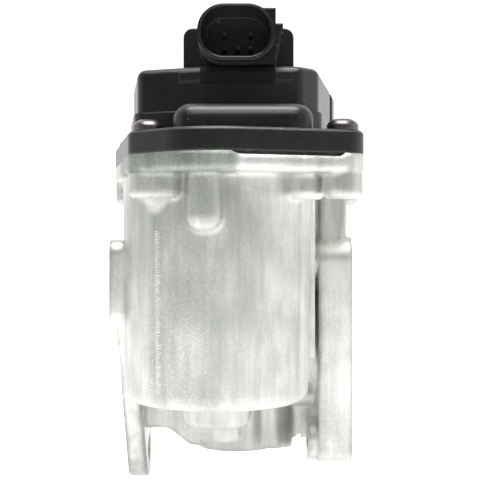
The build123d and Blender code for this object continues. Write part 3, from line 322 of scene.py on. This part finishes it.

# The tone takes painted shade off the deck edge's left half and adds the painted highlights and reflection
# listed above.
tone = patches * 0.46 + streaks * 0.34 + grain * 0.20 - blasted * 0.10 - blasted_shaded_deck_left * 0.24
tone = tone + underside_reflection * 0.13 + outlet_rim_highlight * 0.13 + deck_right_highlight * 0.09 + painted_glint * 0.17
tone = tone + (sparkle * 0.20 - pits * 0.14) * (0.15 + 0.85 * blasted)
cast_tones = (
    (0.08, rgb(0.24, 0.265, 0.235)),
    (0.30, rgb(0.42, 0.45, 0.41)),
    (0.45, rgb(0.545, 0.56, 0.52)),
    (0.66, rgb(0.86, 0.87, 0.83)),
)
cast_colour = tone.node("ValToRGB", {"stops": cast_tones}, {"Fac": tone})
turned_colour = (rings * 0.7 + fine * 0.3).mix(rgb(0.52, 0.53, 0.52), rgb(0.64, 0.65, 0.64))
height = grain * (0.25 + 0.75 * blasted) + fine * 0.30 + streaks * 0.12
height = height * (1.0 - machined) + parting * 2.2 + rings * machined * 0.14
shade(
    tree,
    Base_Color=machined.mix(cast_colour, turned_colour),
    Metallic=0.58,
    Roughness=0.29 + 0.08 * patches + 0.12 * blasted - 0.08 * machined,
    Normal=rough_skin(tree, height, rounded, 0.13 * MM, 0.60),
)
dress(cast_aluminium, "housing")

# Flash on the left parting line: a thin ridge of squeezed-out metal down the pot's front.
# It was trimmed with a coarse file, which left it serrated and brighter than the skin beside it.
flash_top, flash_bottom, tooth_pitch = 35.5 * MM, -6.5 * MM, 0.42 * MM
flash_left = radians(-127.6)
tooth_root, tooth_taper = 0.05 * MM, 0.18
clear_of_pot = 60.0 * MM
tooth_faces = ((3, 2, 1, 0), (4, 5, 6, 7), (0, 1, 5, 4), (1, 2, 6, 5), (2, 3, 7, 6), (3, 0, 4, 7))
housing_surface = BVHTree.FromObject(frame["nodes"]["housing"], bpy.context.evaluated_depsgraph_get())


def on_pot(angle, level, proud):
    """The point of the pot's wall at an angle round the motor and a level, moved out by proud."""
    away = Vector((cos(angle), sin(angle), 0.0))
    start = Vector((motor_x, motor_y, level)) + away * clear_of_pot
    return housing_surface.ray_cast(start, -away)[0] + away * proud


def metal(name, colour, rough, spread, edge=0.3 * MM, metallic=1.0, brushed=(1.0, 1.0, 1.0)):
    """A metal with fine scratches, cloudy tone and softened edges."""
    made, tree = new_material(name)
    place = tree.node("TexCoord", out="Object")
    scratches = noise(place.node("Mapping", None, {"Vector": place, "Scale": brushed}), 2600.0, 3.0, 0.6)
    tone = noise(place, 160.0, 3.0) * 0.6 + scratches * 0.4
    darker = rgb(*(part * (1.0 - spread) for part in colour))
    lighter = rgb(*(min(1.0, part * (1.0 + spread)) for part in colour))
    shade(
        tree,
        Base_Color=tone.step(0.3, 0.7).mix(darker, lighter),
        Metallic=metallic,
        Roughness=rough - 0.06 + 0.12 * tone,
        Normal=rough_skin(tree, scratches, soft_edges(tree, edge), 0.04 * MM, 0.25),
    )
    return made


flash_mesh = bmesh.new()
random.seed(7)
for number in range(int((flash_top - flash_bottom) / tooth_pitch)):
    low = flash_bottom + tooth_pitch * number
    high = low + tooth_pitch * random.uniform(0.55, 0.8)
    left = flash_left + radians(random.uniform(-0.25, 0.25))
    right = left + radians(random.uniform(2.2, 4.4))
    proud = random.uniform(0.14, 0.26) * MM
    corners = []
    for outward, taper in ((-tooth_root, 0.0), (proud, tooth_taper)):
        aside, up = (right - left) * taper, (high - low) * taper
        start, end, bottom, top = left + aside, right - aside, low + up, high - up
        for angle, level in ((start, bottom), (end, bottom), (end, top), (start, top)):
            corners.append(flash_mesh.verts.new(on_pot(angle, level, outward)))
    for face in tooth_faces:
        flash_mesh.faces.new([corners[corner] for corner in face])
flash_data = bpy.data.meshes.new("parting_flash")
flash_mesh.to_mesh(flash_data)
flash_mesh.free()
parting_flash = bpy.data.objects.new("parting_flash", flash_data)
scene.collection.objects.link(parting_flash)
flash_data.materials.append(metal("filed_casting", (0.84, 0.85, 0.81), 0.36, 0.08, edge=0.1 * MM))
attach(parting_flash, "valve_body")

# Bearings: sintered bronze bushes, pressed into the housing for the flap's shaft, and into the motor.
# A moulded rubber ring seals the shaft above the duct, and a rubber cord seals the deck under the cover.
bronze = metal("bronze", (0.50, 0.34, 0.18), 0.42, 0.15)
dress(bronze, "motor_bearings", "shaft_bearings")
rubber = metal("rubber", (0.02, 0.02, 0.02), 0.65, 0.2, metallic=0.0)
dress(rubber, "cover_seal", "shaft_seal")

# Flap: a stainless disc in the duct, held in its slotted shaft by two screws.
# Hot gas has turned all three a little brown.
stainless = metal("stainless", (0.50, 0.48, 0.45), 0.33, 0.12, brushed=(1.0, 0.3, 1.0))
dress(stainless, "flap", "flap_shaft", "flap_screws")

# Motor's shell: a can and an end plate, drawn and stamped from plated steel.
# Two ferrite magnets are glued inside the can, and a small one of the same kind turns with the sector.
drawn_steel = metal("drawn_steel", (0.55, 0.56, 0.57), 0.32, 0.08, brushed=(1.0, 1.0, 0.15))
dress(drawn_steel, "motor_can", "motor_plate")
ferrite = metal("ferrite", (0.10, 0.10, 0.11), 0.55, 0.15, metallic=0.3)
dress(ferrite, "motor_magnets", "sensor_magnet")

# Rotor: a stack of dark steel laminations pressed on the shaft, with windings of enamelled copper wire.
# They end on a commutator of copper bars.
laminations = metal("laminations", (0.26, 0.26, 0.27), 0.42, 0.2, brushed=(0.1, 0.1, 3.0))
dress(laminations, "rotor_core")
copper = metal("copper", (0.60, 0.27, 0.14), 0.34, 0.18, brushed=(0.3, 0.3, 2.0))
dress(copper, "rotor_windings", "commutator")

# Brushes and blades: two blocks of pressed carbon rub on the commutator.
# Two stamped brass blades carry the current up to the cover.
carbon = metal("carbon", (0.05, 0.05, 0.055), 0.6, 0.2, metallic=0.0)
dress(carbon, "brushes")
brass = metal("brass", (0.70, 0.52, 0.28), 0.28, 0.1)
dress(brass, "motor_blades")

# Shaft, pins, sleeves and pinions: steel, turned and then ground.
# The lower plug that closes the shaft's bore is made in the same way.
ground_steel = metal("ground_steel", (0.64, 0.64, 0.63), 0.22, 0.06, brushed=(1.0, 1.0, 0.2))
dress(ground_steel, "motor_shaft", "pinion", "idler_pin", "idler_spacer", "idler_pinion")
dress(ground_steel, "cover_sleeves", "lower_plug")

# Springs: dark hardened steel, a flat spiral that shuts the flap and a cone-shaped washer under the motor.
# The spiral's band runs from a tab at the sector's hub to the post on the deck.
spring_steel = metal("spring_steel", (0.36, 0.36, 0.37), 0.34, 0.12)
dress(spring_steel, "return_spring", "motor_spring")

# Idler and sector gear: moulded from pale glass-filled plastic.
# The idler turns on its steel pin, and the sector sits on the end of the flap's shaft.
gear_plastic = metal("gear_plastic", (0.74, 0.70, 0.58), 0.45, 0.05, metallic=0.0)
dress(gear_plastic, "idler_gear", "sector_gear")

# Circuit board under the cover: glass fibre with green solder mask.
# It hangs under the cover's ceiling, with the sensor's chip near the sector's magnet.
solder_mask = metal("solder_mask", (0.02, 0.15, 0.07), 0.25, 0.15, metallic=0.0)
dress(solder_mask, "circuit_board")

# Cover: black glass-filled plastic, moulded with a finely eroded skin and rounded edges.
# It is paler where it faces up, as a painted sheen, and blackest inside the connector, as painted shade,
# and a little dust lies on it.
# The motor's brush card and the sensor's chip are of the same black plastic.
socket_half_width, socket_half_height = 10.0 * MM, 7.6 * MM
socket_in_front, socket_behind = 6.0 * MM, 3.0 * MM
black_plastic, tree = new_material("black_plastic")
place = tree.node("TexCoord", out="Object")
x, y, z = place.axes()
skin = noise(place, 4200.0)
clouds = noise(place, 60.0, 3.0)
flow = noise(place, 260.0, 3.0)
dust = noise(place, 1300.0, 1.0, 0.7).step(0.70, 0.76) * noise(place, 90.0).step(0.42, 0.60)
pins_low, pins_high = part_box("connector_pins")
socket_x, socket_z = ((pins_low[axis] + pins_high[axis]) / 2 for axis in (0, 2))
# Inside the connector the colour is darker still, as painted shade, and the surface rougher.
shaded_socket = (abs(x - socket_x) < socket_half_width) * (abs(z - socket_z) < socket_half_height)
shaded_socket = shaded_socket * (y > pins_low[1] - socket_in_front) * (y < pins_low[1] + socket_behind)
painted_top_sheen = tree.node("NewGeometry", out="Normal").axes()[2].step(0.15, 0.95)
mottle = (clouds * 0.6 + flow * 0.4).step(0.35, 0.65)
colour = mottle.mix(rgb(0.0035, 0.0050, 0.0036), rgb(0.0080, 0.0108, 0.0080))
colour = painted_top_sheen.mix(colour, rgb(0.027, 0.032, 0.027))
colour = dust.mix(colour, rgb(0.15, 0.16, 0.15))
colour = shaded_socket.mix(colour, rgb(0.0022, 0.0025, 0.0022))
shade(
    tree,
    Base_Color=colour,
    Roughness=0.24 + 0.10 * clouds + 0.06 * flow + 0.6 * shaded_socket,
    Normal=rough_skin(tree, skin + flow * 0.5, soft_edges(tree, 0.8 * MM), 0.05 * MM, 0.35),
    Specular_IOR_Level=0.55,
)
dress(black_plastic, "cover", "brush_card", "sensor_chip")

# Screws: zinc-plated steel with rounded heads, slightly mauve where the passivation shows.
# They hold the cover and the motor's plate, and one through the post on the deck is the sector's stop.
zinc_plate = metal("zinc_plate", (0.19, 0.165, 0.175), 0.30, 0.18, edge=0.8 * MM)
dress(zinc_plate, "cover_screws", "motor_screws", "stop_screw")

# Connector's pins: square wire of a reddish copper alloy, moulded into the cover.
# Their colour is darkened as painted shade, for the depth of the socket they stand in.
pin_copper = metal("pin_copper", (0.17, 0.055, 0.05), 0.34, 0.30, edge=0.2 * MM)
dress(pin_copper, "connector_pins")
